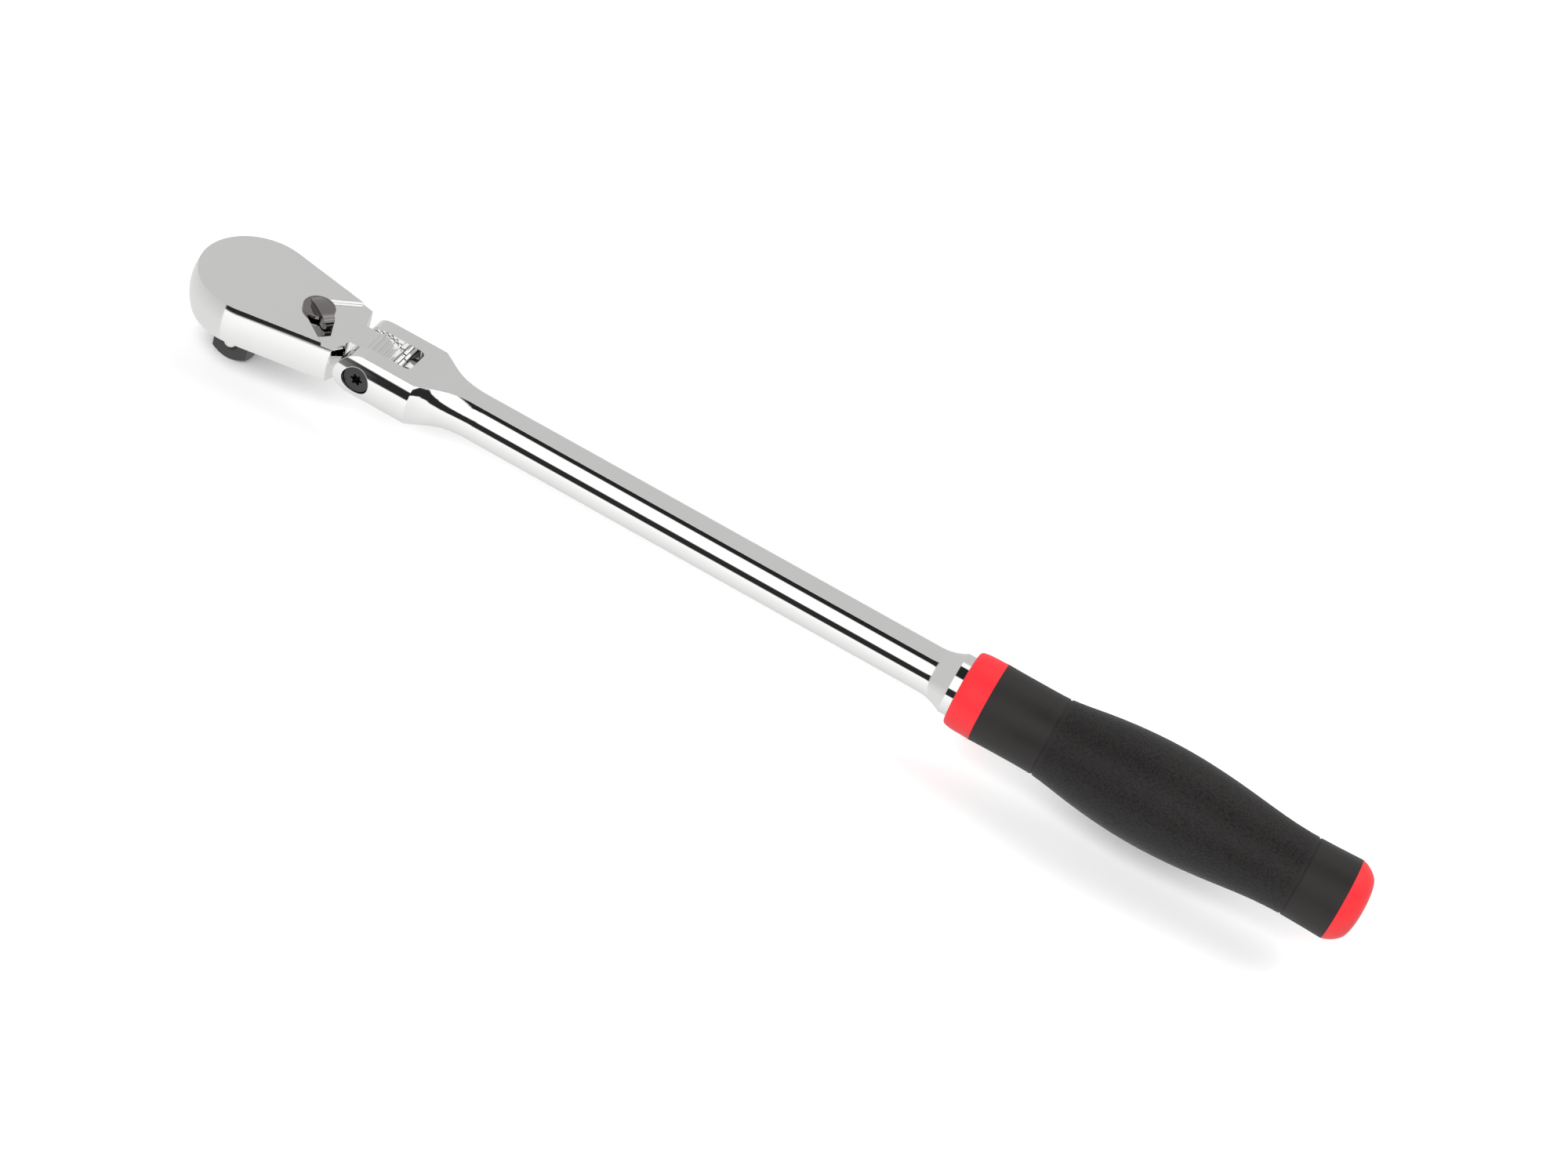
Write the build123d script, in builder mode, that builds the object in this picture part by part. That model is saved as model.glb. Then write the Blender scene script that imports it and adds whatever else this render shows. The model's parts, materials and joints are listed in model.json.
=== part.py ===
"""Flex-head ratchet wrench with a 3/8 inch square drive.

Frame: origin at the centre of the drive square's end face, +Z up along the drive axis towards the
reverse lever, +X along the handle away from the head. Millimetres.
"""
import os
from math import atan2, cos, degrees, radians, sin, sqrt, tan

from build123d import *

os.makedirs("parts", exist_ok=True)

# ---- driving dimensions -------------------------------------------------------------------------
drive_square = 9.525          # 3/8 inch square drive
tang_length = 13.6            # drive end to the underside of the head
tang_corner_radius = 0.9
tang_lead_in = 1.65           # height over which the end of the tang is turned down
running_gap = 0.05            # radial clearance of a shaft in its hole

head_thickness = 11.2
head_edge_radius = 14.85      # nose radius along the top and bottom edges
nose_x = 1.3                  # centre of the nose, a little behind the drive axis
wall_bulge = 1.0              # how far the head's walls belly out at mid-height
neck_x = 28.7                 # rear corners of the head
neck_half = 9.6
rear_wall_half = 4.6          # half width of the rear wall's innermost, vertical line
plate_thickness = 2.0         # roof over the mechanism
cover_thickness = 1.4
cover_inset = 1.6
cover_end_x = 25.6
relief_depth = 0.8            # step down behind the lever

wheel_teeth = 72
wheel_tip_radius = 9.8
wheel_root_radius = 9.3

journal_radius = 7.6          # drive journal in the cover plate
upper_journal_radius = 5.0
ball_radius = 2.1
ball_sunk = 0.95              # ball centre below the near face of the square
ball_z = 5.3
ball_pocket_depth = 7.4

cover_screw_radius = 0.9
cover_screw_head = 1.45
cover_screw_places = [(3.5, 11.2), (3.5, -11.2), (23.8, 0.0)]
cover_screw_depth = 4.0

lever_x = 18.8                # lever spindle axis
lever_disc_radius = 4.1
lever_rest_angle = -38.0      # where the arm points, from +X
spindle_radius = 2.0

clip_thickness = 0.5
plunger_radius = 0.95
plunger_start = 0.5           # back and tip of the pawl plunger from the lever axis
plunger_reach = 4.6
plunger_bore_start = -1.3

pawl_pin_x = 11.9
pawl_pin_radius = 0.8
pawl_swing = 12.0             # degrees from one engaged position to the other

pivot_x = 36.6                # flex joint axis
tongue_half = 4.05
hub_teeth = 24
hub_tip_radius = 6.1
hub_root_radius = 5.4
screw_head_radius = 3.65
screw_shank_radius = 2.5
screw_head_y = 6.6            # seat of the screw head, towards -Y
screw_face_y = 9.65
detent_radius = 2.3
detent_tip_x = 42.07
detent_back_x = 52.3
detent_bore_end = 61.3

yoke_half_thickness = 6.2
yoke_edge_half = 8.35         # half width along the yoke's top and bottom edges
yoke_bulge = 2.3
slot_half = 4.2
slot_end_x = 47.1
shoulder_x = 50.8

shaft_flat_height = 5.45      # half the distance between the shaft's two flats
shaft_radius = 6.03
shaft_start_x = 65.3
flare_start_x = 192.3
collar_front_x = 198.8
collar_radius = 7.85
red_front_x = 201.1
red_back_x = 208.4
front_groove_x = 225.2
swell_x = 255.3
rear_groove_x = 291.8
cap_x = 303.1
cap_radius = 10.5
grip_end_x = 308.6

rod_radius = 5.4              # shaft's continuation inside the grip
rod_end_x = 286.3
core_radius = 8.0

# ---- heights worked out from the above ----------------------------------------------------------
head_bottom = tang_length
head_top = head_bottom + head_thickness
mid_z = head_bottom + head_thickness / 2
cavity_bottom = head_bottom + cover_thickness
cavity_top = head_top - plate_thickness
wheel_bottom = cavity_bottom + 0.2
wheel_top = cavity_top - 0.2
seal_z = head_bottom + 0.7
spindle_bottom = cavity_bottom + 0.9
clip_z = cavity_top - 0.7
lever_seal_z = cavity_top + 0.5
plunger_z = mid_z - 0.4
handle_axis = Axis((0, 0, mid_z), (1, 0, 0))
handle_plane = Plane(origin=(0, 0, mid_z), x_dir=(1, 0, 0), z_dir=(0, -1, 0))  # X along, Y up
pivot_plane = Plane(origin=(pivot_x, 0, mid_z), x_dir=(1, 0, 0), z_dir=(0, -1, 0))
hub_phase = 180 / hub_teeth   # a valley faces the handle
ball_plane = Plane(origin=(0, -drive_square / 2, ball_z), x_dir=(1, 0, 0), z_dir=(0, -1, 0))


def cross_plane(x):
    """Plane across the handle at x, with local X along +Y and local Y along +Z."""
    return Plane(origin=(x, 0, mid_z), x_dir=(0, 1, 0), z_dir=(1, 0, 0))


def polar(radius, angle):
    return (radius * cos(radians(angle)), radius * sin(radians(angle)))


def toothed_outline(teeth, tip, root, phase=0.0, grow=0.0):
    """Corner points of a wheel with V-shaped teeth and narrow flats at tip and root."""
    pitch = 360 / teeth
    points = []
    for tooth in range(teeth):
        centre = tooth * pitch + phase
        points.append(polar(root + grow, centre - 0.42 * pitch))
        points.append(polar(tip + grow, centre - 0.12 * pitch))
        points.append(polar(tip + grow, centre + 0.12 * pitch))
        points.append(polar(root + grow, centre + 0.42 * pitch))
    return points


def finish_part(block, name):
    """Label a finished piece and write its STEP file."""
    block.part.label = name
    export_step(block.part, f"parts/{name}.step")


# ---- head ---------------------------------------------------------------------------------------
neck_run = neck_x - nose_x
neck_distance = sqrt(neck_run**2 + neck_half**2)
tangent_angle = degrees(atan2(neck_half, neck_run)) + degrees(
    atan2(sqrt(neck_distance**2 - head_edge_radius**2), head_edge_radius)
)
tangent_reach, tangent_y = polar(head_edge_radius, tangent_angle)
tangent_x = nose_x + tangent_reach
side_dx, side_dy = neck_x - tangent_x, neck_half - tangent_y
overrun_x = neck_x + side_dx * 0.15
overrun_y = neck_half + side_dy * 0.15
rear_wall_x = pivot_x - hub_tip_radius - 0.4
half_head = head_thickness / 2


def teardrop(edge_radius, inset=0.0):
    """Top-edge outline of the head, closed across the neck, moved inwards by inset."""
    radius = edge_radius - inset
    tx, ty = polar(radius, tangent_angle)
    shift_x, shift_y = polar(inset, tangent_angle)
    end_x, end_y = overrun_x - shift_x, overrun_y - shift_y
    with BuildLine() as outline:
        Line((end_x, -end_y), (nose_x + tx, -ty))
        ThreePointArc((nose_x + tx, -ty), (nose_x - radius, 0), (nose_x + tx, ty))
        Line((nose_x + tx, ty), (end_x, end_y))
        Line((end_x, end_y), (end_x, -end_y))
    return outline.line


with BuildPart() as head_body:
    with BuildSketch(Plane.XY.offset(head_bottom)):
        make_face(teardrop(head_edge_radius, 2.0))
    extrude(amount=head_thickness)
    with BuildLine(Plane.XY.offset(mid_z)) as wall_path:
        Line((overrun_x, -overrun_y), (tangent_x, -tangent_y))
        ThreePointArc((tangent_x, -tangent_y), (nose_x - head_edge_radius, 0), (tangent_x, tangent_y))
        Line((tangent_x, tangent_y), (overrun_x, overrun_y))
    wall_plane = Plane(
        origin=(overrun_x, -overrun_y, mid_z), x_dir=(side_dy, -side_dx, 0), z_dir=(-side_dx, side_dy, 0)
    )
    with BuildSketch(wall_plane):
        with BuildLine():
            Polyline((0, half_head), (-3, half_head), (-3, -half_head), (0, -half_head))
            ThreePointArc((0, -half_head), (wall_bulge, 0), (0, half_head))
        make_face()
    sweep(path=wall_path.line)
    # rear wall, leaning in towards the tongue
    with BuildSketch(Plane.XY.offset(head_bottom)):
        with BuildLine():
            Polyline(
                (neck_x - 0.25, neck_half + 3), (neck_x, neck_half), (rear_wall_x, rear_wall_half),
                (rear_wall_x, -rear_wall_half), (neck_x, -neck_half), (neck_x - 0.25, -neck_half - 3),
                (overrun_x + 9, -neck_half - 3), (overrun_x + 9, neck_half + 3), close=True,
            )
        make_face()
    extrude(amount=head_thickness, mode=Mode.SUBTRACT)
    # tongue
    with BuildSketch(Plane.XY.offset(head_bottom)):
        with Locations((rear_wall_x - 4, 0)):
            Rectangle(
                pivot_x - rear_wall_x + 3, 2 * tongue_half, align=(Align.MIN, Align.CENTER)
            )
    extrude(amount=head_thickness)
    # fan-shaped relief behind the lever
    with BuildSketch(Plane.XY.offset(head_top - relief_depth)):
        with BuildLine():
            Polyline(
                (lever_x - 0.9, 4.3), (lever_x + 8.8, 11.8), (neck_x + 12, 11.8),
                (neck_x + 12, -11.8), (lever_x + 8.8, -11.8), (lever_x - 0.9, -4.3), close=True,
            )
        make_face()
    extrude(amount=relief_depth, mode=Mode.SUBTRACT)
    # hinge hub with its detent teeth
    with BuildSketch(pivot_plane.offset(-tongue_half)):
        with BuildLine():
            Polyline(toothed_outline(hub_teeth, hub_tip_radius, hub_root_radius, hub_phase), close=True)
        make_face()
    extrude(amount=2 * tongue_half)
    with BuildSketch(pivot_plane.offset(-tongue_half)):
        Circle(screw_shank_radius + running_gap)
    extrude(amount=2 * tongue_half, mode=Mode.SUBTRACT)
    # pocket for the wheel, pawl and spindle, open below
    with BuildSketch(Plane.XY.offset(cavity_bottom)):
        Circle(wheel_tip_radius + 0.35)
        with BuildLine():
            Polyline(
                polar(wheel_tip_radius, 62), (9.6, 8.8), (11.9, 8.5), (15.2, 5.2), (lever_x, 3.4),
                (lever_x, -3.4), (15.2, -5.2), (11.9, -8.5), (9.6, -8.8), polar(wheel_tip_radius, -62),
                (0, 0), close=True,
            )
        make_face()
        with Locations((lever_x, 0)):
            Circle(3.4)
    extrude(amount=cavity_top - cavity_bottom, mode=Mode.SUBTRACT)
    # rebate for the cover plate
    with BuildSketch(Plane.XY.offset(head_bottom)):
        make_face(teardrop(head_edge_radius, cover_inset - running_gap))
        with Locations((cover_end_x + running_gap, 0)):
            Rectangle(7, 30, align=(Align.MIN, Align.CENTER), mode=Mode.SUBTRACT)
    extrude(amount=cover_thickness, mode=Mode.SUBTRACT)
    # bores in the roof: wheel's upper journal, lever spindle, pawl pin
    with BuildSketch(Plane.XY.offset(cavity_top)):
        Circle(upper_journal_radius + running_gap)
    extrude(amount=1.2, mode=Mode.SUBTRACT)
    with BuildSketch(Plane.XY.offset(cavity_top)):
        with Locations((lever_x, 0)):
            Circle(spindle_radius + running_gap)
    extrude(amount=plate_thickness, mode=Mode.SUBTRACT)
    with BuildSketch(Plane.XY.offset(cavity_top)):
        with Locations((pawl_pin_x, 0)):
            Circle(pawl_pin_radius)
    extrude(amount=1.0, mode=Mode.SUBTRACT)
    # threaded holes for the cover screws
    with BuildSketch(Plane.XY.offset(cavity_bottom)):
        with Locations(*cover_screw_places):
            Circle(cover_screw_radius)
    extrude(amount=cover_screw_depth + 0.2, mode=Mode.SUBTRACT)
finish_part(head_body, "head_body")

with BuildPart() as cover_plate:
    with BuildSketch(Plane.XY.offset(head_bottom)):
        make_face(teardrop(head_edge_radius, cover_inset))
        with Locations((cover_end_x, 0)):
            Rectangle(7, 30, align=(Align.MIN, Align.CENTER), mode=Mode.SUBTRACT)
        Circle(journal_radius + running_gap, mode=Mode.SUBTRACT)
    extrude(amount=cover_thickness)
    with Locations(*[(x, y, head_bottom) for x, y in cover_screw_places]):
        Cone(
            cover_screw_head, cover_screw_radius, cover_screw_head - cover_screw_radius,
            align=(Align.CENTER, Align.CENTER, Align.MIN), mode=Mode.SUBTRACT,
        )
        Cylinder(
            cover_screw_radius, cover_thickness,
            align=(Align.CENTER, Align.CENTER, Align.MIN), mode=Mode.SUBTRACT,
        )
finish_part(cover_plate, "cover_plate")

with BuildPart() as cover_screws:
    with BuildSketch(Plane.XY.offset(head_bottom)):
        with Locations(*cover_screw_places):
            Circle(cover_screw_radius)
    extrude(amount=cover_thickness + cover_screw_depth)
    with Locations(*[(x, y, head_bottom) for x, y in cover_screw_places]):
        Cone(
            cover_screw_head, cover_screw_radius, cover_screw_head - cover_screw_radius,
            align=(Align.CENTER, Align.CENTER, Align.MIN),
        )
    with BuildSketch(Plane.XY.offset(head_bottom)):
        with Locations(*cover_screw_places):
            RegularPolygon(0.85, 6)
    extrude(amount=0.8, mode=Mode.SUBTRACT)
finish_part(cover_screws, "cover_screws")

# ---- ratchet wheel with the drive square ----------------------------------------------------------
with BuildPart() as drive_gear:
    with BuildSketch():
        RectangleRounded(drive_square, drive_square, tang_corner_radius)
    extrude(amount=tang_length)
    with BuildSketch(Plane.XZ):
        with BuildLine():
            Polyline(
                (0, 0), (drive_square / 2, 0), (6.6, tang_lead_in), (6.6, tang_length),
                (0, tang_length), close=True,
            )
        make_face()
    revolve(axis=Axis.Z, mode=Mode.INTERSECT)
    with BuildSketch(Plane.XY.offset(head_bottom)):
        Circle(journal_radius)
    extrude(amount=wheel_bottom - head_bottom)
    with BuildSketch(Plane.XY.offset(wheel_bottom)):
        with BuildLine():
            Polyline(toothed_outline(wheel_teeth, wheel_tip_radius, wheel_root_radius), close=True)
        make_face()
    extrude(amount=wheel_top - wheel_bottom)
    with BuildSketch(Plane.XY.offset(wheel_top)):
        Circle(upper_journal_radius)
    extrude(amount=cavity_top + 1.0 - wheel_top)
    # groove for the seal
    with BuildSketch(Plane.XY.offset(seal_z - 0.35)):
        Circle(journal_radius + 1)
        Circle(journal_radius - 0.6, mode=Mode.SUBTRACT)
    extrude(amount=0.7, mode=Mode.SUBTRACT)
    # pocket of the retaining ball, with a chamfered mouth
    with BuildSketch(ball_plane):
        Circle(ball_radius + 0.03)
    extrude(amount=-ball_pocket_depth, mode=Mode.SUBTRACT)
    with BuildSketch(ball_plane):
        Circle(ball_radius + 0.5)
    extrude(amount=-0.5, taper=45, mode=Mode.SUBTRACT)
finish_part(drive_gear, "drive_gear")

with BuildPart() as anvil_seal:
    with BuildSketch(Plane.XZ):
        with Locations((journal_radius - 0.3, seal_z)):
            Circle(0.28)
    revolve(axis=Axis.Z)
finish_part(anvil_seal, "anvil_seal")

with BuildPart() as tang_ball:
    with Locations((0, -drive_square / 2 + ball_sunk, ball_z)):
        Sphere(ball_radius)
finish_part(tang_ball, "tang_ball")

# ---- pawl -----------------------------------------------------------------------------------------
pawl_bottom = wheel_bottom + 0.2
pawl_height = 6.4
pin_spot = Pos(pawl_pin_x, 0, 0)
pin_turn = pin_spot * Rot(0, 0, pawl_swing) * pin_spot.inverse()


def pawl_pad(angle_from, angle_to):
    """One toothed end of the pawl as a plan sketch, in its engaged position on the +Y side."""
    with BuildSketch() as pad:
        with BuildLine():
            Polyline(
                polar(wheel_root_radius + 0.08, angle_from), polar(12.2, angle_from),
                polar(12.2, angle_to), polar(wheel_root_radius + 0.08, angle_to), close=True,
            )
        make_face()
    return pad.sketch


with BuildSketch() as wheel_with_gap:
    with BuildLine():
        Polyline(
            toothed_outline(wheel_teeth, wheel_tip_radius, wheel_root_radius, grow=0.06), close=True
        )
    make_face()
pad_engaged = pawl_pad(27, 39)
pad_lifted = pin_turn * pad_engaged.mirror(Plane.XZ)

half_turn = pin_spot * Rot(0, 0, pawl_swing / 2) * pin_spot.inverse()
with BuildSketch() as pawl_middle:
    with BuildLine() as pawl_half:
        Polyline(
            (10.6, 0), (10.2, 3.0), (9.65, 4.6), (8.9, 6.2), (9.9, 7.4), (13.4, 4.2), (14.4, 2.0),
            (14.4, 0),
        )
        mirror(about=Plane.XZ)
    make_face()

with BuildPart() as pawl:
    with BuildSketch(Plane.XY.offset(pawl_bottom)):
        add(half_turn * pawl_middle.sketch)
        add(pad_engaged)
        add(pad_lifted)
        add(wheel_with_gap.sketch, mode=Mode.SUBTRACT)
        add(pin_turn * wheel_with_gap.sketch, mode=Mode.SUBTRACT)
        with Locations((lever_x, 0)):
            Circle(plunger_reach + 0.3, mode=Mode.SUBTRACT)
        with Locations((pawl_pin_x, 0)):
            Circle(pawl_pin_radius + running_gap, mode=Mode.SUBTRACT)
    extrude(amount=pawl_height)
finish_part(pawl, "pawl")

with BuildPart() as pawl_pin:
    with Locations((pawl_pin_x, 0, cavity_bottom + 0.05)):
        Cylinder(
            pawl_pin_radius, cavity_top + 1.0 - cavity_bottom - 0.05,
            align=(Align.CENTER, Align.CENTER, Align.MIN),
        )
finish_part(pawl_pin, "pawl_pin")

# ---- reverse lever and what its spindle carries -----------------------------------------------------
arm_x, arm_y = polar(1, lever_rest_angle)
lever_axis = Axis((lever_x, 0, 0), (0, 0, 1))
lever_plan = Plane(origin=(lever_x, 0, head_top), x_dir=(arm_x, arm_y, 0), z_dir=(0, 0, 1))
lever_side = Plane(origin=(lever_x, 0, head_top), x_dir=(arm_x, arm_y, 0), z_dir=(arm_y, -arm_x, 0))
plunger_z = 17.2
plunger_plane = Plane(origin=(lever_x, 0, plunger_z), x_dir=(0, 0, 1), z_dir=(-arm_x, -arm_y, 0))

with BuildPart() as reverse_lever:
    # arm: tapered in plan, domed along its length, its end reaching down into the relief
    with BuildSketch(lever_plan.offset(-0.75)):
        with BuildLine():
            Polyline(
                (-3.2, 1.2), (-1.0, 1.75), (6.3, 1.5), (7.1, 0.95), (7.1, -0.95), (6.3, -1.5),
                (-1.0, -1.75), (-3.2, -1.2), close=True,
            )
        make_face()
    extrude(amount=5.0)
    with BuildSketch(lever_side.offset(-6)):
        with BuildLine():
            Spline(
                (-3.4, 0.9), (-1.5, 1.9), (1.2, 2.5), (4.2, 2.5), (5.9, 2.15),
                tangents=((1.0, 0.75), (1.0, -0.35)),
            )
            Polyline((5.9, 2.15), (6.2, 1.6), (6.6, 1.5), (6.75, 0.95), (7.1, 0.8), (7.1, -0.1))
            Polyline((7.1, -0.1), (6.8, -0.5), (4.5, -0.5), (4.2, 0.06), (-3.4, 0.06), (-3.4, 0.9))
        make_face()
    extrude(amount=12, mode=Mode.INTERSECT)
    with BuildSketch(lever_side):
        with BuildLine():
            Polyline((0, 0.06), (lever_disc_radius, 0.06), (lever_disc_radius, 0.65))
            ThreePointArc((lever_disc_radius, 0.65), (lever_disc_radius - 0.1, 0.9), (lever_disc_radius - 0.35, 1.0))
            Polyline((lever_disc_radius - 0.35, 1.0), (0, 1.0), (0, 0.06))
        make_face()
    revolve(axis=lever_axis)
    with BuildSketch(Plane.XY.offset(spindle_bottom)):
        with Locations((lever_x, 0)):
            Circle(spindle_radius)
    extrude(amount=head_top + 0.5 - spindle_bottom)
    # grooves for the clip and the seal
    for groove_z, groove_height, groove_radius in (
        (clip_z, clip_thickness, 1.5), (lever_seal_z - 0.25, 0.5, 1.6)
    ):
        with BuildSketch(Plane.XY.offset(groove_z)):
            with Locations((lever_x, 0)):
                Circle(spindle_radius + 0.02)
                Circle(groove_radius, mode=Mode.SUBTRACT)
        extrude(amount=groove_height, mode=Mode.SUBTRACT)
    # cross bore for the pawl plunger, facing away from the arm
    with BuildSketch(plunger_plane.offset(plunger_bore_start)):
        Circle(plunger_radius + 0.03)
    extrude(amount=2 * spindle_radius, mode=Mode.SUBTRACT)
finish_part(reverse_lever, "reverse_lever")

with BuildPart() as lever_seal:
    with BuildSketch(Plane(origin=(lever_x, 0, lever_seal_z), x_dir=(1, 0, 0), z_dir=(0, -1, 0))):
        with Locations((1.81, 0)):
            Circle(0.19)
    revolve(axis=lever_axis)
finish_part(lever_seal, "lever_seal")

with BuildPart() as lever_clip:
    with BuildSketch(Plane.XY.offset(clip_z + 0.03)):
        with Locations((lever_x, 0)):
            Circle(2.8)
            Circle(1.53, mode=Mode.SUBTRACT)
        with Locations((lever_x + 2.2, 0)):
            Rectangle(2.6, 1.6, mode=Mode.SUBTRACT)
    extrude(amount=clip_thickness - 0.06)
finish_part(lever_clip, "lever_clip")

with BuildPart() as pawl_plunger:
    with BuildSketch(plunger_plane.offset(plunger_start)):
        Circle(plunger_radius)
    extrude(amount=plunger_reach - plunger_start)
    fillet(pawl_plunger.faces().sort_by(Axis((0, 0, 0), plunger_plane.z_dir))[-1].edges(), 0.6)
finish_part(pawl_plunger, "pawl_plunger")


def coil_spring(name, start_plane, length, coil_radius, wire_radius, turns):
    """Compression spring wound along the plane's normal, its round wire inside the given length."""
    with BuildPart() as spring:
        with BuildLine() as coil:
            Helix(
                pitch=(length - 2 * wire_radius) / turns, height=length - 2 * wire_radius, radius=coil_radius,
                center=start_plane.offset(wire_radius).origin, direction=start_plane.z_dir,
            )
        with BuildSketch(Plane(origin=coil.line @ 0, z_dir=coil.line % 0)):
            Circle(wire_radius)
        sweep(path=coil.line, is_frenet=True)
    finish_part(spring, name)


coil_spring(
    "pawl_spring", plunger_plane.offset(plunger_bore_start + 0.02), plunger_start - plunger_bore_start - 0.04,
    0.66, 0.26, 2,
)
coil_spring(
    "tang_ball_spring",
    ball_plane.offset(-ball_pocket_depth), ball_pocket_depth - ball_sunk - ball_radius, 1.35, 0.3, 4,
)

# ---- handle: yoke, shaft, collar and the rod inside the grip ------------------------------------------
flat_half = sqrt(shaft_radius**2 - shaft_flat_height**2)
scoop_top = collar_radius + 0.2
fork_tip_x = pivot_x - yoke_half_thickness


def barrel_face(x, edge_half, height, side_half):
    """Cross-section with flat top and bottom and bowed sides, as a face across the handle."""
    with BuildSketch(cross_plane(x)) as section:
        with BuildLine():
            Line((-edge_half, height), (edge_half, height))
            ThreePointArc((edge_half, height), (side_half, 0), (edge_half, -height))
            Line((edge_half, -height), (-edge_half, -height))
            ThreePointArc((-edge_half, -height), (-side_half, 0), (-edge_half, height))
        make_face()
    return section.sketch


with BuildPart() as handle_shaft:
    # yoke block with rounded ends
    extrude(
        barrel_face(fork_tip_x, yoke_edge_half, yoke_half_thickness, yoke_edge_half + yoke_bulge),
        amount=shoulder_x - fork_tip_x,
    )
    with BuildSketch(pivot_plane.offset(-20)):
        Circle(yoke_half_thickness)
        with Locations((15, 0)):
            Rectangle(30, 2 * yoke_half_thickness)
    extrude(amount=40, mode=Mode.INTERSECT)
    # taper from the yoke into the shaft
    loft(sections=[
        barrel_face(shoulder_x, yoke_edge_half, yoke_half_thickness, yoke_edge_half + yoke_bulge),
        barrel_face(shoulder_x + 5.0, 5.1, 5.9, 7.35),
        barrel_face(shoulder_x + 10.0, 3.0, 5.6, 6.3),
        barrel_face(shaft_start_x, flat_half, shaft_flat_height, shaft_radius),
        barrel_face(shaft_start_x + 2.5, flat_half, shaft_flat_height, shaft_radius),
    ])
    # round shaft flaring into the collar, then the rod
    with BuildSketch(handle_plane):
        with BuildLine():
            Line((shaft_start_x + 2.5, 0), (shaft_start_x + 2.5, shaft_radius))
            Line((shaft_start_x + 2.5, shaft_radius), (flare_start_x, shaft_radius))
            TangentArc((flare_start_x, shaft_radius), (collar_front_x, collar_radius), tangent=(1, 0))
            Polyline(
                (collar_front_x, collar_radius), (red_front_x, collar_radius),
                (red_front_x, rod_radius), (rod_end_x, rod_radius), (rod_end_x, 0), (shaft_start_x + 2.5, 0),
            )
        make_face()
    revolve(axis=handle_axis)
    # the shaft's two flats, running out in a scoop at the flare
    for side in (1, -1):
        with BuildSketch(handle_plane.offset(-12)):
            with BuildLine():
                Line(
                    (shaft_start_x, side * shaft_flat_height), (flare_start_x, side * shaft_flat_height)
                )
                TangentArc(
                    (flare_start_x, side * shaft_flat_height), (collar_front_x, side * scoop_top),
                    tangent=(1, 0),
                )
                Polyline(
                    (collar_front_x, side * scoop_top), (shaft_start_x, side * scoop_top),
                    (shaft_start_x, side * shaft_flat_height),
                )
            make_face()
        extrude(amount=24, mode=Mode.SUBTRACT)
    # slot for the head's tongue, with rounded inner corners
    with BuildSketch(Plane.XY.offset(mid_z - 10)):
        with Locations(((slot_end_x + 20) / 2, 0)):
            RectangleRounded(slot_end_x - 20, 2 * slot_half, 1.6)
    extrude(amount=20, mode=Mode.SUBTRACT)
    # screw holes through the fork
    with BuildSketch(pivot_plane.offset(-15)):
        Circle(screw_shank_radius)
    extrude(amount=15, mode=Mode.SUBTRACT)
    with BuildSketch(pivot_plane):
        Circle(screw_shank_radius + running_gap)
    extrude(amount=15, mode=Mode.SUBTRACT)
    with BuildSketch(pivot_plane.offset(screw_head_y)):
        Circle(screw_head_radius + 0.1)
    extrude(amount=5, mode=Mode.SUBTRACT)
    # bore for the detent plunger and its spring
    with BuildSketch(cross_plane(slot_end_x - 2)):
        Circle(detent_radius + running_gap)
    extrude(amount=detent_bore_end - slot_end_x + 2, mode=Mode.SUBTRACT)
finish_part(handle_shaft, "handle_shaft")

with BuildPart() as pivot_screw:
    with BuildSketch(pivot_plane.offset(-8.4)):
        Circle(screw_shank_radius)
    extrude(amount=8.4 + screw_head_y)
    with BuildSketch(pivot_plane.offset(screw_head_y)):
        Circle(screw_head_radius)
    extrude(amount=screw_face_y - screw_head_y)
    chamfer(pivot_screw.faces().sort_by(Axis.Y)[0].edges(), 0.2)
    with BuildSketch(pivot_plane.offset(screw_face_y)):
        with BuildLine():
            Polyline(
                [polar(1.62 if corner % 4 in (0, 1) else 1.08, 15 * corner - 7.5) for corner in range(24)],
                close=True,
            )
        make_face()
    extrude(amount=-1.7, mode=Mode.SUBTRACT)
finish_part(pivot_screw, "pivot_screw")

with BuildPart() as flex_plunger:
    with BuildSketch(cross_plane(detent_tip_x)):
        Circle(detent_radius)
    extrude(amount=detent_back_x - detent_tip_x)
    nose_slope = tan(radians(33))
    nose_length = (detent_radius + 0.1) / nose_slope
    with BuildSketch(handle_plane.offset(-5)):
        with BuildLine():
            Polyline(
                (detent_tip_x, 0.06), (detent_tip_x + nose_length, detent_radius + 0.1),
                (detent_back_x, detent_radius + 0.1), (detent_back_x, -detent_radius - 0.1),
                (detent_tip_x + nose_length, -detent_radius - 0.1), (detent_tip_x, -0.06), close=True,
            )
        make_face()
    extrude(amount=10, mode=Mode.INTERSECT)
finish_part(flex_plunger, "flex_plunger")

coil_spring(
    "flex_spring", cross_plane(detent_back_x), detent_bore_end - detent_back_x, 1.75, 0.34, 6
)

# ---- grip -------------------------------------------------------------------------------------------
with BuildPart() as grip_core:
    with BuildSketch(handle_plane):
        with BuildLine():
            Line((red_front_x, rod_radius + 0.02), (red_front_x, 9.0))
            Spline(
                (red_front_x, 9.0), (red_front_x + 1.3, 9.85), (red_back_x, 10.2),
                tangents=((0.25, 1), (1, 0.08)),
            )
            Polyline(
                (red_back_x, 10.2), (red_back_x, core_radius), (cap_x, core_radius),
                (cap_x, rod_radius + 0.02), (red_front_x, rod_radius + 0.02),
            )
        make_face()
    revolve(axis=handle_axis)
finish_part(grip_core, "grip_core")

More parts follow.
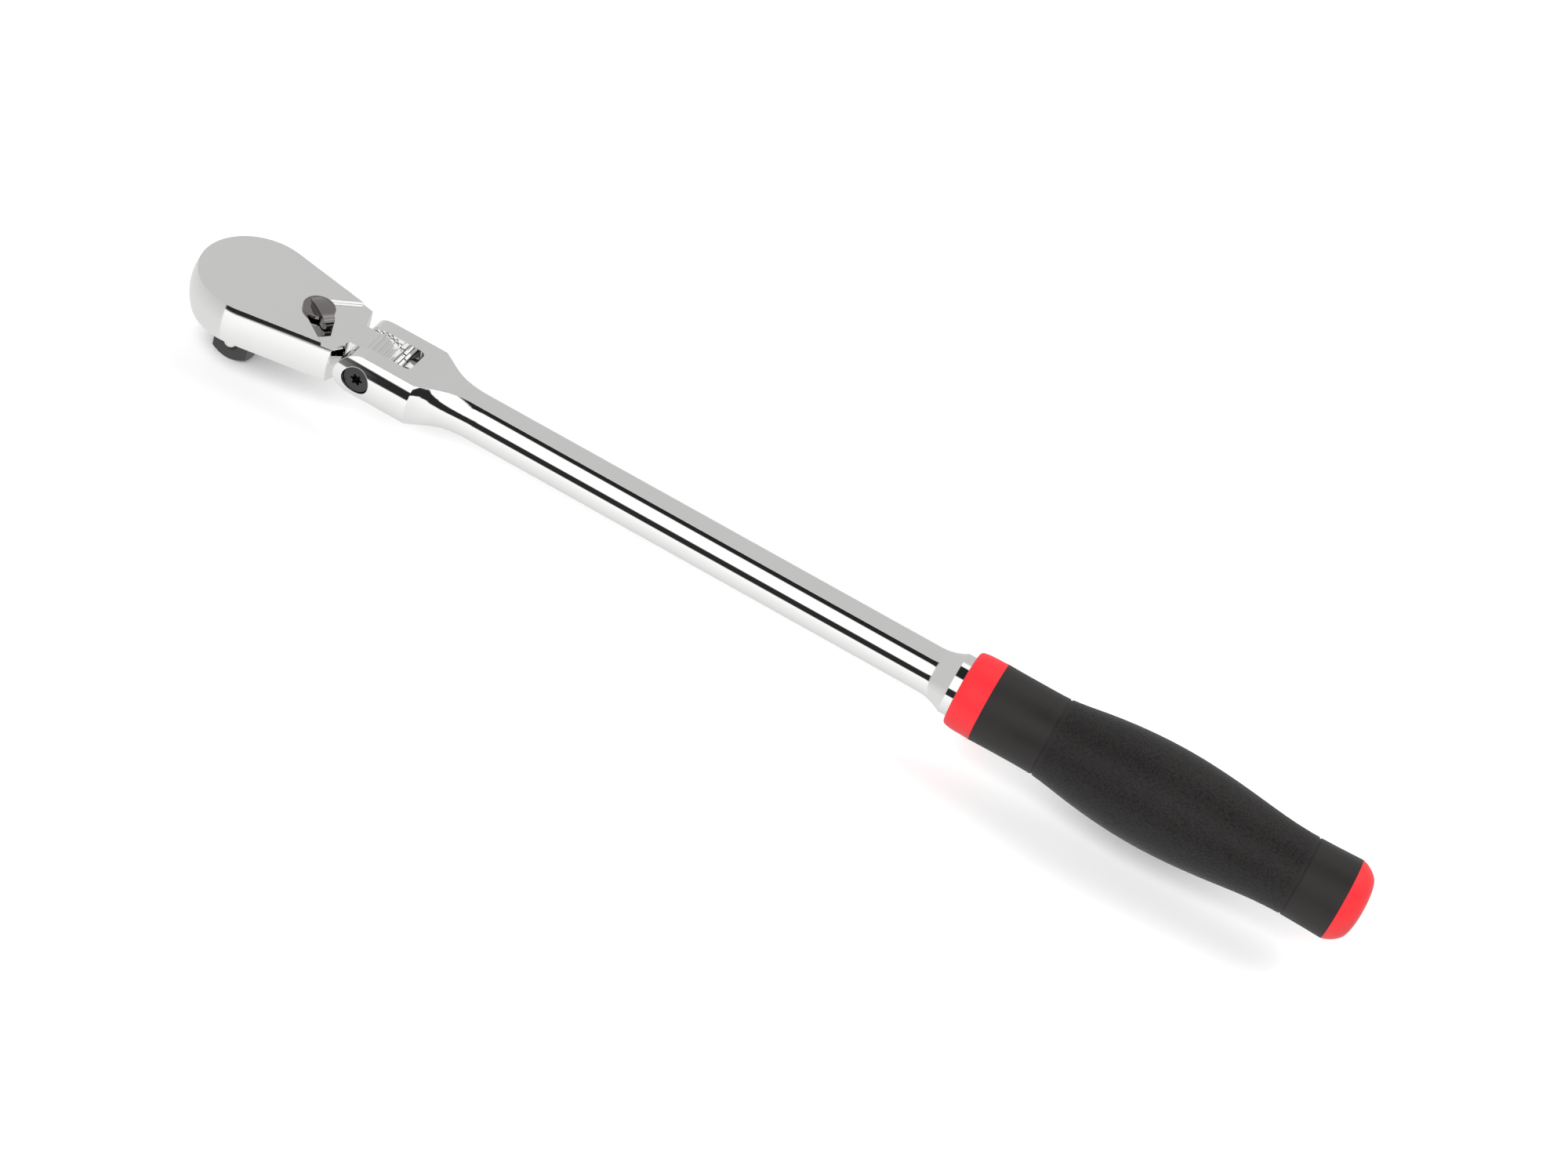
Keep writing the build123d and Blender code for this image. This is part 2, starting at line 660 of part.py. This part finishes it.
with BuildPart() as grip_sleeve:
    with BuildSketch(handle_plane):
        with BuildLine():
            Polyline((cap_x, cap_radius), (cap_x, core_radius), (red_back_x, core_radius), (red_back_x, 10.18))
            Spline(
                (red_back_x, 10.18), (red_back_x + 8.4, 10.08), (front_groove_x, 10.15),
                tangents=((1, -0.03), (1, 0.04)),
            )
            Spline(
                (front_groove_x, 10.15), (swell_x - 21.5, 11.4), (swell_x, 13.1), (swell_x + 19, 11.7),
                (rear_groove_x, 10.2), tangents=((1, 0.1), (1, 0)),
            )
            Spline(
                (rear_groove_x, 10.2), (cap_x - 5.8, 10.3), (cap_x, cap_radius), tangents=((1, 0), (1, 0.04))
            )
        make_face()
    revolve(axis=handle_axis)
    for groove_x in (front_groove_x, rear_groove_x):
        with BuildSketch(cross_plane(groove_x)):
            Circle(12)
            Circle(9.95, mode=Mode.SUBTRACT)
        extrude(amount=0.5, mode=Mode.SUBTRACT)
finish_part(grip_sleeve, "grip_sleeve")

with BuildPart() as end_cap:
    with BuildSketch(handle_plane):
        with BuildLine():
            Polyline(
                (rod_end_x + 4, 0), (rod_end_x + 4, rod_radius - 0.02), (cap_x, rod_radius - 0.02),
                (cap_x, cap_radius),
            )
            Spline(
                (cap_x, cap_radius), (cap_x + 1.4, 10.05), (cap_x + 3.2, 8.97),
                (cap_x + 4.5, 7.5), (cap_x + 5.25, 5.0),
                (grip_end_x, 0), tangents=((1, -0.2), (0, -1)),
            )
            Line((grip_end_x, 0), (rod_end_x + 4, 0))
        make_face()
    revolve(axis=handle_axis)
finish_part(end_cap, "end_cap")
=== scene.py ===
"""Looks of the flex-head ratchet wrench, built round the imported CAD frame. Metres."""

import json
from math import radians

import bpy
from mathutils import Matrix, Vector


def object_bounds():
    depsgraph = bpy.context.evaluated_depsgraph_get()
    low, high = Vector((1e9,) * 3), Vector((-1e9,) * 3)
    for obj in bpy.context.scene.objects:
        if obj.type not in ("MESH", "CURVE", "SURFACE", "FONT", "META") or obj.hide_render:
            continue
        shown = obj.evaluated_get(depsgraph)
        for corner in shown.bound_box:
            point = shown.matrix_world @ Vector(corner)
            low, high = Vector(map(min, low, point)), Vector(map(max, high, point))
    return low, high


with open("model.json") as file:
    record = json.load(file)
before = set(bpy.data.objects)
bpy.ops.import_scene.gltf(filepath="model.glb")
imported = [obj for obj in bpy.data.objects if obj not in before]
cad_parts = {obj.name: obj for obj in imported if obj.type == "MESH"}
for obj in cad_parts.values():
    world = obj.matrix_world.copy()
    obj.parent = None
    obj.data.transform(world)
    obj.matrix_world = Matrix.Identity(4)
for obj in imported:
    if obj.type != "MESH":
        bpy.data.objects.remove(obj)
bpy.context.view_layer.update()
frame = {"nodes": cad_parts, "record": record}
nodes = frame["nodes"]

# ---- camera -----------------------------------------------------------------------------------
CAMERA_PLACE = (0.2474, -0.5633, 0.5246)
CAMERA_TURN = (46.19, -16.83, 25.13)    # degrees about X, Y and Z
SENSOR_WIDTH = 36.0                     # millimetres
FOCAL_WIDTHS = 2.021                    # focal length as a multiple of the picture's width
VIEW_DEPTH = 20.0


def make_camera():
    data = bpy.data.cameras.new("view_camera")
    data.sensor_width = SENSOR_WIDTH
    data.lens = FOCAL_WIDTHS * SENSOR_WIDTH
    data.clip_end = VIEW_DEPTH
    camera = bpy.data.objects.new("view_camera", data)
    camera.location = CAMERA_PLACE
    camera.rotation_euler = [radians(turn) for turn in CAMERA_TURN]
    bpy.context.scene.collection.objects.link(camera)
    bpy.context.scene.camera = camera


# ---- node helpers -----------------------------------------------------------------------------
def grey(value):
    return (value, value, value, 1.0)


class Graph:
    """Short way to add and join the nodes of one tree."""

    def __init__(self, tree):
        self.tree = tree
        tree.nodes.clear()

    def link(self, source, target):
        self.tree.links.new(source, target)

    def add(self, kind, inputs=None, **settings):
        """New node with these settings. Each input is joined to a socket or set to a value."""
        node = self.tree.nodes.new(kind)
        for name, value in settings.items():
            setattr(node, name, value)
        for name, value in (inputs or {}).items():
            if isinstance(value, bpy.types.NodeSocket):
                self.link(value, node.inputs[name])
            else:
                node.inputs[name].default_value = value
        return node

    def step(self, value, start, end):
        """0 before start, 1 after end, with a straight rise between."""
        limits = {"Value": value, "From Min": start, "From Max": end}
        return self.add("ShaderNodeMapRange", limits).outputs["Result"]

    def math(self, operation, first, second):
        node = self.add("ShaderNodeMath", {0: first, 1: second}, operation=operation)
        return node.outputs[0]

    def mix(self, factor, first, second, **settings):
        inputs = {"Fac": factor, "Color1": first, "Color2": second}
        return self.add("ShaderNodeMixRGB", inputs, **settings).outputs[0]

    def noise(self, place, scale, detail):
        inputs = {"Vector": place, "Scale": scale, "Detail": detail}
        return self.add("ShaderNodeTexNoise", inputs).outputs["Fac"]

    def ramp(self, factor, stops):
        """Colour ramp through stops of a place and a grey value or colour."""
        node = self.add("ShaderNodeValToRGB", {"Fac": factor})
        ramp = node.color_ramp
        while len(ramp.elements) < len(stops):
            ramp.elements.new(0.5)
        for element, (place, value) in zip(ramp.elements, stops):
            element.position = place
            element.color = (*value, 1.0) if isinstance(value, tuple) else grey(value)
        return node.outputs["Color"]


# ---- studio -----------------------------------------------------------------------------------
# Brightness of the room seen by the chrome, by angle in degrees above the near horizon, going up
# over the object and down its far side.
ROOM = (
    (-180, 0.62), (-120, 0.70), (-80, 0.84), (-45, 0.96), (-25, 1.06), (-12, 1.12),
    (-9, 0.025), (15, 0.025), (18, 1.25), (63, 1.25), (67, 0.02), (107, 0.02),
    (110, 1.15), (122, 1.15), (127, 0.60), (180, 0.62),
)
NOSE_SIDE_HIGH = 0.62         # brightness of the room beyond the head's nose, above and below
NOSE_SIDE_LOW = 0.80
NOSE_SIDE_LOW_Z = -0.6        # where the low brightness is complete, as the Z part of the direction
NOSE_SIDE_FROM = -0.264       # where that side begins and is complete, as the X part
NOSE_SIDE_TO = -0.314
BACKDROP = 1.0

FLOOR_HALF = 3.0
FLOOR_GAP = 0.0002
FLOOR_BRIGHTNESS = 0.93
FLOOR_ROUGHNESS = 0.9

LIGHT_TARGET = (0.15, 0, 0)
LIGHTS = (                    # name, place, width and power in watts
    ("key", (-0.1, -0.9, 1.1), 0.9, 16.0),
    ("fill", (0.7, 0.6, 0.9), 1.2, 10.0),
)


def make_world():
    """Banded room for the reflections, plain white where the camera looks straight at it."""
    world = bpy.data.worlds.new("studio")
    bpy.context.scene.world = world
    world.use_nodes = True
    g = Graph(world.node_tree)
    direction = g.add("ShaderNodeTexCoord").outputs["Generated"]
    xyz = g.add("ShaderNodeSeparateXYZ", {"Vector": direction}).outputs
    angle = g.math("ARCTAN2", xyz["Z"], g.math("MULTIPLY", xyz["Y"], -1.0))
    place = g.math("ADD", g.math("DIVIDE", angle, radians(360)), 0.5)
    bands = g.ramp(place, [((turn + 180) / 360, value) for turn, value in ROOM])
    low = g.step(xyz["Z"], 0.0, NOSE_SIDE_LOW_Z)
    nose_side = g.mix(low, grey(NOSE_SIDE_HIGH), grey(NOSE_SIDE_LOW))
    room = g.mix(g.step(xyz["X"], NOSE_SIDE_FROM, NOSE_SIDE_TO), bands, nose_side)
    seen = g.add("ShaderNodeLightPath").outputs["Is Camera Ray"]
    colour = g.mix(seen, room, grey(BACKDROP))
    background = g.add("ShaderNodeBackground", {"Color": colour, "Strength": 1.0})
    out = g.add("ShaderNodeOutputWorld")
    g.link(background.outputs[0], out.inputs["Surface"])


def make_floor():
    near, far = -FLOOR_HALF, FLOOR_HALF
    corners = [(near, near, 0), (far, near, 0), (far, far, 0), (near, far, 0)]
    mesh = bpy.data.meshes.new("floor")
    mesh.from_pydata(corners, [], [(0, 1, 2, 3)])
    floor = bpy.data.objects.new("floor", mesh)
    floor.location.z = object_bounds()[0][2] - FLOOR_GAP
    floor.visible_glossy = False
    bpy.context.scene.collection.objects.link(floor)
    material = bpy.data.materials.new("floor_white")
    material.use_nodes = True
    g = Graph(material.node_tree)
    look = {"Base Color": grey(FLOOR_BRIGHTNESS), "Roughness": FLOOR_ROUGHNESS}
    shader = g.add("ShaderNodeBsdfPrincipled", look)
    out = g.add("ShaderNodeOutputMaterial")
    g.link(shader.outputs[0], out.inputs["Surface"])
    mesh.materials.append(material)


def make_light(name, place, width, power):
    data = bpy.data.lights.new(name, "AREA")
    data.shape = "DISK"
    data.size = width
    data.energy = power
    light = bpy.data.objects.new(name, data)
    light.location = place
    towards = Vector(LIGHT_TARGET) - Vector(place)
    light.rotation_euler = towards.to_track_quat("-Z", "Y").to_euler()
    light.visible_glossy = False
    bpy.context.scene.collection.objects.link(light)


# ---- materials --------------------------------------------------------------------------------
BEVEL_RADIUS = 0.0002         # how far plated and moulded edges are rounded in their shading
BEVEL_SAMPLES = 6
GRAIN_SCALE = 900.0           # polishing lines

FRONT_GROOVE_X = 0.2255       # the pebbled part of the grip lies between its two grooves
REAR_GROOVE_X = 0.2920
PEBBLE_FADE = 0.0012          # length over which the pebbles begin and end
PEBBLE_SCALE = 2000.0
PEBBLE_SMOOTHNESS = 0.5
PEBBLE_SHIFT = 0.0006         # how much the pebbles stray from their even pattern
PEBBLE_SHIFT_SCALE = 700.0
PAINTED_CREASE_SHADE = ((0.15, 1.0), (0.75, 0.45))    # painted shade: darkening from the top of a pebble out to its crease

RUBBER_SPECULAR = 0.28
RUBBER_SKIN_SCALE = 2500.0
RUBBER_SKIN_PART = 0.12       # height of the fine skin as a part of the bump's depth
RUBBER_SKIN_DEPTH = 0.00002   # depth where there are no pebbles

PLASTIC_SPECULAR = 0.32
PLASTIC_PEEL_SCALE = 1100.0
PLASTIC_PEEL_DEPTH = 0.00001


def new_material(name):
    """Material with its graph, a shader wired to the output, and the place on the object."""
    material = bpy.data.materials.new(name)
    material.use_nodes = True
    g = Graph(material.node_tree)
    shader = g.add("ShaderNodeBsdfPrincipled")
    out = g.add("ShaderNodeOutputMaterial")
    g.link(shader.outputs[0], out.inputs["Surface"])
    place = g.add("ShaderNodeTexCoord").outputs["Object"]
    return material, g, shader, place


def vary(g, shader, place, base, spread, roughness, roughness_spread, scale):
    """Colour and roughness that wander a little over the surface. Returns the colour."""
    noise = g.noise(place, scale, 4.0)
    darker = tuple(part * (1 - spread) for part in base)
    lighter = tuple(min(part * (1 + spread), 1.0) for part in base)
    colour = g.ramp(noise, [(0.35, darker), (0.65, lighter)])
    span = {
        "Value": noise,
        "From Min": 0.3,
        "From Max": 0.7,
        "To Min": roughness * (1 - roughness_spread),
        "To Max": roughness * (1 + roughness_spread),
    }
    rough = g.add("ShaderNodeMapRange", span).outputs["Result"]
    g.link(colour, shader.inputs["Base Color"])
    g.link(rough, shader.inputs["Roughness"])
    return colour


def rounded_edges(g):
    bevel = g.add("ShaderNodeBevel", {"Radius": BEVEL_RADIUS}, samples=BEVEL_SAMPLES)
    return bevel.outputs["Normal"]


def bump(g, shader, height, distance, normal=None):
    inputs = {"Height": height, "Distance": distance, "Strength": 1.0}
    if normal:
        inputs["Normal"] = normal
    raised = g.add("ShaderNodeBump", inputs)
    g.link(raised.outputs["Normal"], shader.inputs["Normal"])


def metal(name, base, roughness, grain=0.0, grain_stretch=(1, 1, 1), spread=0.03):
    """Brushed or bare metal: grain is the depth in metres of its polishing lines."""
    material, g, shader, place = new_material(name)
    shader.inputs["Metallic"].default_value = 1.0
    vary(g, shader, place, base, spread, roughness, 0.2, 60.0)
    if grain:
        stretch = g.add("ShaderNodeMapping", {"Vector": place, "Scale": grain_stretch})
        bump(g, shader, g.noise(stretch.outputs["Vector"], GRAIN_SCALE, 2.0), grain)
    return material


def plating(name, base, roughness, spread):
    """Smooth plated metal with softly rounded edges."""
    material, g, shader, place = new_material(name)
    shader.inputs["Metallic"].default_value = 1.0
    vary(g, shader, place, base, spread, roughness, 0.2, 60.0)
    g.link(rounded_edges(g), shader.inputs["Normal"])
    return material


def pebbles(g, place):
    """Domes of the grip's skin, where they are on the grip, and the painted shade that darkens each
    dome towards its crease.
    """
    along = g.add("ShaderNodeSeparateXYZ", {"Vector": place}).outputs["X"]
    after_front = g.step(along, FRONT_GROOVE_X, FRONT_GROOVE_X + PEBBLE_FADE)
    before_rear = g.step(along, REAR_GROOVE_X, REAR_GROOVE_X - PEBBLE_FADE)
    zone = g.math("MULTIPLY", after_front, before_rear)
    shift_noise = {"Vector": place, "Scale": PEBBLE_SHIFT_SCALE}
    shift = g.add("ShaderNodeTexNoise", shift_noise).outputs["Color"]
    inputs = {
        "Vector": g.mix(PEBBLE_SHIFT, place, shift),
        "Scale": PEBBLE_SCALE,
        "Smoothness": PEBBLE_SMOOTHNESS,
    }
    cells = g.add("ShaderNodeTexVoronoi", inputs, feature="SMOOTH_F1").outputs["Distance"]
    domes = g.math("SUBTRACT", 1.0, cells)
    return domes, zone, g.ramp(cells, PAINTED_CREASE_SHADE)


def rubber(name, base, roughness, pebble_depth=0.0):
    """Moulded rubber, pebbled between the grip's grooves where a depth is given, with painted shade
    darkening each pebble towards its crease there.
    """
    material, g, shader, place = new_material(name)
    shader.inputs["Specular IOR Level"].default_value = RUBBER_SPECULAR
    plain = vary(g, shader, place, base, 0.12, roughness, 0.15, 40.0)
    height = g.math("MULTIPLY", g.noise(place, RUBBER_SKIN_SCALE, 2.0), RUBBER_SKIN_PART)
    if pebble_depth:
        domes, zone, painted_crease_shade = pebbles(g, place)
        height = g.math("ADD", height, g.math("MULTIPLY", domes, zone))
        # painted shade: the pebbles' crease darkening is multiplied into the rubber's colour
        # between the grooves
        shaded = g.mix(zone, plain, painted_crease_shade, blend_type="MULTIPLY")
        g.link(shaded, shader.inputs["Base Color"])
    bump(g, shader, height, pebble_depth or RUBBER_SKIN_DEPTH, rounded_edges(g))
    return material


def plastic(name, base, roughness):
    """Satin moulded plastic with a barely raised orange-peel skin."""
    material, g, shader, place = new_material(name)
    shader.inputs["Specular IOR Level"].default_value = PLASTIC_SPECULAR
    vary(g, shader, place, base, 0.05, roughness, 0.15, 70.0)
    bump(g, shader, g.noise(place, PLASTIC_PEEL_SCALE, 2.0), PLASTIC_PEEL_DEPTH)
    return material


MATERIALS = {
    "polished_chrome": plating("polished_chrome", (0.88, 0.88, 0.872), 0.035, 0.008),
    "satin_steel": metal(
        "satin_steel", (0.38, 0.375, 0.37), 0.24, grain=4e-6, grain_stretch=(0.1, 1, 1)
    ),
    "black_oxide_steel": metal(
        "black_oxide_steel", (0.085, 0.083, 0.085), 0.40, grain=6e-6, spread=0.10
    ),
    "black_chrome": plating("black_chrome", (0.27, 0.25, 0.25), 0.12, 0.05),
    "ball_steel": metal("ball_steel", (0.82, 0.82, 0.82), 0.12),
    "spring_steel": metal("spring_steel", (0.45, 0.45, 0.46), 0.3, grain=3e-6),
    "seal_rubber": rubber("seal_rubber", (0.03, 0.03, 0.03), 0.6),
    "black_rubber": rubber(
        "black_rubber", (0.0165, 0.0150, 0.0145), 0.46, pebble_depth=0.00009
    ),
    "red_plastic": plastic("red_plastic", (0.71, 0.020, 0.027), 0.45),
}


def finish_nodes():
    slots = {entry["node"]: entry["material_slot"] for entry in frame["record"]["subparts"]}
    for name, node in nodes.items():
        node.data.materials.clear()
        node.data.materials.append(MATERIALS[slots[name]])


make_camera()
make_world()
make_floor()
for light in LIGHTS:
    make_light(*light)
finish_nodes()
bpy.context.scene.view_settings.view_transform = "Standard"
